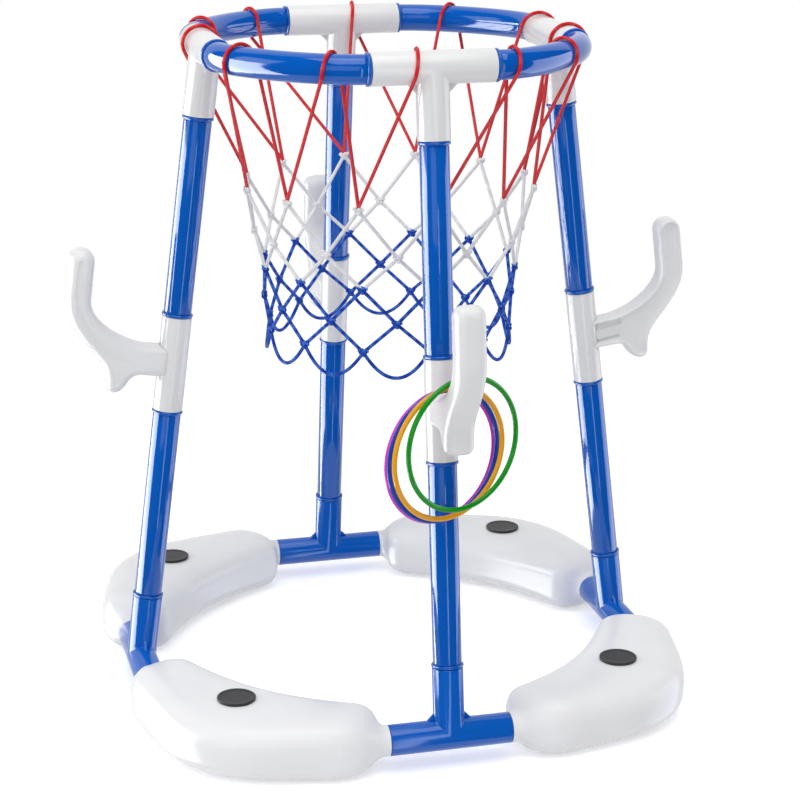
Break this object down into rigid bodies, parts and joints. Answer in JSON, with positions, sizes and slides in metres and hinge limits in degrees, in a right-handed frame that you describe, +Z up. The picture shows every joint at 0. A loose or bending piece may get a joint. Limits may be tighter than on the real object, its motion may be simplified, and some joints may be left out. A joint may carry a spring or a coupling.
{
  "type": "poolside basketball hoop",
  "caption": "Free-standing pool basketball hoop: plastic tube legs on hollow float feet carry a rounded rim with a cord net, hooks on the legs and toss rings.",
  "frame": {"origin": "on the ground under the middle of the rim, in the middle of the legs", "axes": "+Z up through the rim; the leg whose hook holds the toss rings stands towards -Y; the other legs stand towards +X, +Y and -X"},
  "size_m": [0.5986, 0.5986, 0.63],
  "materials": {
    "blue_plastic": "smooth blow-moulded gloss",
    "white_plastic": "smooth moulded gloss",
    "cap_plastic": "satin moulded",
    "red_cord": "braided cord",
    "white_cord": "braided cord",
    "blue_cord": "braided cord",
    "green_ring_plastic": "smooth gloss",
    "yellow_ring_plastic": "smooth gloss",
    "blue_ring_plastic": "smooth gloss",
    "magenta_ring_plastic": "smooth gloss"
  },
  "bodies": {
    "root": {"rim_tee_front": "white_plastic", "leg_upper_front": "blue_plastic", "hook_sleeve_front": "white_plastic", "hook_front": "white_plastic", "leg_lower_front": "blue_plastic", "base_tee_front": "blue_plastic", "rim_tee_right": "white_plastic", "leg_upper_right": "blue_plastic", "hook_sleeve_right": "white_plastic", "hook_right": "white_plastic", "leg_lower_right": "blue_plastic", "base_tee_right": "blue_plastic", "rim_tee_back": "white_plastic", "leg_upper_back": "blue_plastic", "hook_sleeve_back": "white_plastic", "hook_back": "white_plastic", "leg_lower_back": "blue_plastic", "base_tee_back": "blue_plastic", "rim_tee_left": "white_plastic", "leg_upper_left": "blue_plastic", "hook_sleeve_left": "white_plastic", "hook_left": "white_plastic", "leg_lower_left": "blue_plastic", "base_tee_left": "blue_plastic", "rim_tube_front_right": "blue_plastic", "float_front_right": "white_plastic", "rim_tube_back_right": "blue_plastic", "float_back_right": "white_plastic", "rim_tube_back_left": "blue_plastic", "float_back_left": "white_plastic", "rim_tube_front_left": "blue_plastic", "float_front_left": "white_plastic", "net_red": "red_cord", "net_white": "white_cord", "net_blue": "blue_cord"},
    "cap_front_right": {"float_cap_front_right": "cap_plastic"},
    "cap_back_right": {"float_cap_back_right": "cap_plastic"},
    "cap_back_left": {"float_cap_back_left": "cap_plastic"},
    "cap_front_left": {"float_cap_front_left": "cap_plastic"},
    "ring_green": {"toss_ring_green": "green_ring_plastic"},
    "ring_yellow": {"toss_ring_yellow": "yellow_ring_plastic"},
    "ring_blue": {"toss_ring_blue": "blue_ring_plastic"},
    "ring_magenta": {"toss_ring_magenta": "magenta_ring_plastic"}
  },
  "joints": [
    {"name": "cap_front_right_lift", "type": "slide", "parent": "root", "child": "cap_front_right", "axis": [0, 0, 1], "range_m": [0, 0.03]},
    {"name": "cap_back_right_lift", "type": "slide", "parent": "root", "child": "cap_back_right", "axis": [0, 0, 1], "range_m": [0, 0.03]},
    {"name": "cap_back_left_lift", "type": "slide", "parent": "root", "child": "cap_back_left", "axis": [0, 0, 1], "range_m": [0, 0.03]},
    {"name": "cap_front_left_lift", "type": "slide", "parent": "root", "child": "cap_front_left", "axis": [0, 0, 1], "range_m": [0, 0.03]},
    {"name": "ring_green_lift", "type": "slide", "parent": "root", "child": "ring_green", "axis": [0, 0, 1], "range_m": [0, 0.04]},
    {"name": "ring_yellow_lift", "type": "slide", "parent": "root", "child": "ring_yellow", "axis": [0, 0, 1], "range_m": [0, 0.04]},
    {"name": "ring_blue_lift", "type": "slide", "parent": "root", "child": "ring_blue", "axis": [0, 0, 1], "range_m": [0, 0.04]},
    {"name": "ring_magenta_lift", "type": "slide", "parent": "root", "child": "ring_magenta", "axis": [0, 0, 1], "range_m": [0, 0.04]}
  ]
}
